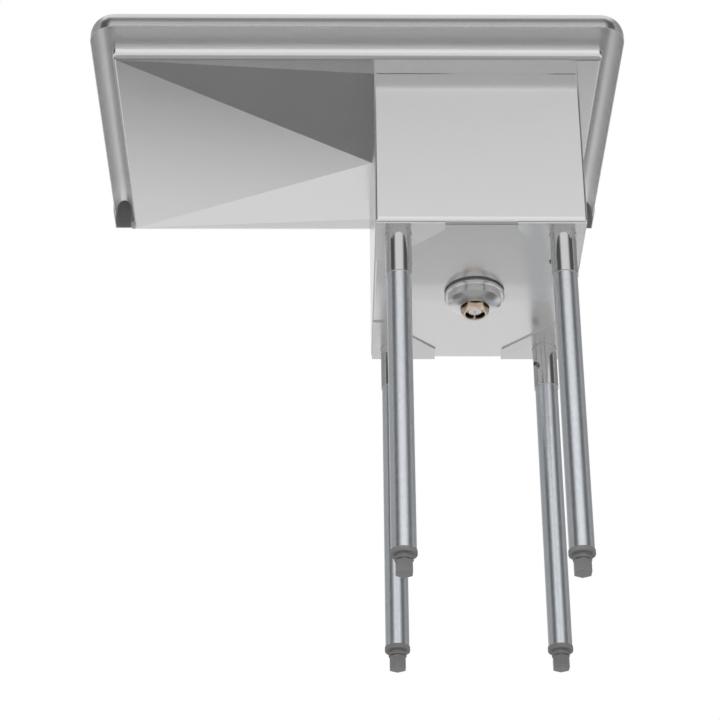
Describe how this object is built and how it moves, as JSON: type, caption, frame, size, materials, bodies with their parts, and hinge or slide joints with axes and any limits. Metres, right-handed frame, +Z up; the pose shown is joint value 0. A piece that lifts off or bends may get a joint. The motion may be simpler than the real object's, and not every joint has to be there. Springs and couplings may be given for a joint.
{
  "type": "sink with drainboard",
  "caption": "Free-standing stainless sink: deep bowl, left drainboard, rolled rim, backsplash, tube legs with screw feet and a basket drain.",
  "frame": {"origin": "on the floor, under the middle of the whole sink's outline", "axes": "+X to the right as seen from the front, +Y to the wall, +Z up"},
  "size_m": [0.9402, 0.6554, 1.223],
  "materials": {
    "satin_steel": "fine satin sheet",
    "plate_steel": "mill-finished plate",
    "polished_steel": "polished tube",
    "screw_steel": "machined",
    "galvanised_steel": "smooth galvanised tube, faint bluish spangle",
    "grey_plastic": "moulded, matte",
    "drain_steel": "turned and polished",
    "rubber": "soft black rubber",
    "fibre": "pressed fibre",
    "brass": "cast and turned"
  },
  "bodies": {
    "sink": {"bowl_wrap": "satin_steel", "bowl_left_wall": "satin_steel", "bowl_right_wall": "satin_steel", "drainboard": "satin_steel", "front_ledge": "satin_steel", "right_ledge": "satin_steel", "back_ledge": "satin_steel", "front_rim": "satin_steel", "left_rim": "satin_steel", "right_rim": "satin_steel", "left_rim_corner": "satin_steel", "right_rim_corner": "satin_steel", "backsplash": "satin_steel", "left_splash_end": "satin_steel", "right_splash_end": "satin_steel", "front_left_gusset": "plate_steel", "front_right_gusset": "plate_steel", "rear_left_gusset": "plate_steel", "rear_right_gusset": "plate_steel", "front_left_socket": "polished_steel", "front_right_socket": "polished_steel", "rear_left_socket": "polished_steel", "rear_right_socket": "polished_steel", "socket_set_screws": "screw_steel", "front_left_leg": "galvanised_steel", "front_right_leg": "galvanised_steel", "rear_left_leg": "galvanised_steel", "rear_right_leg": "galvanised_steel", "front_left_insert": "grey_plastic", "front_right_insert": "grey_plastic", "rear_left_insert": "grey_plastic", "rear_right_insert": "grey_plastic", "drain_body": "drain_steel", "drain_gasket": "rubber", "drain_ring": "fibre", "drain_locknut": "drain_steel", "slip_nut": "brass"},
    "front_left_leveller": {"front_left_foot": "grey_plastic"},
    "front_right_leveller": {"front_right_foot": "grey_plastic"},
    "rear_left_leveller": {"rear_left_foot": "grey_plastic"},
    "rear_right_leveller": {"rear_right_foot": "grey_plastic"},
    "basket": {"strainer_basket": "drain_steel", "basket_post": "drain_steel", "basket_seal": "rubber", "basket_knob": "drain_steel"}
  },
  "joints": [
    {"name": "front_left_foot_height", "type": "slide", "parent": "sink", "child": "front_left_leveller", "axis": [0, 0, -1], "range_m": [0, 0.025]},
    {"name": "front_right_foot_height", "type": "slide", "parent": "sink", "child": "front_right_leveller", "axis": [0, 0, -1], "range_m": [0, 0.025]},
    {"name": "rear_left_foot_height", "type": "slide", "parent": "sink", "child": "rear_left_leveller", "axis": [0, 0, -1], "range_m": [0, 0.025]},
    {"name": "rear_right_foot_height", "type": "slide", "parent": "sink", "child": "rear_right_leveller", "axis": [0, 0, -1], "range_m": [0, 0.025]},
    {"name": "basket_lift", "type": "slide", "parent": "sink", "child": "basket", "axis": [0, 0, 1], "range_m": [0, 0.33]}
  ]
}
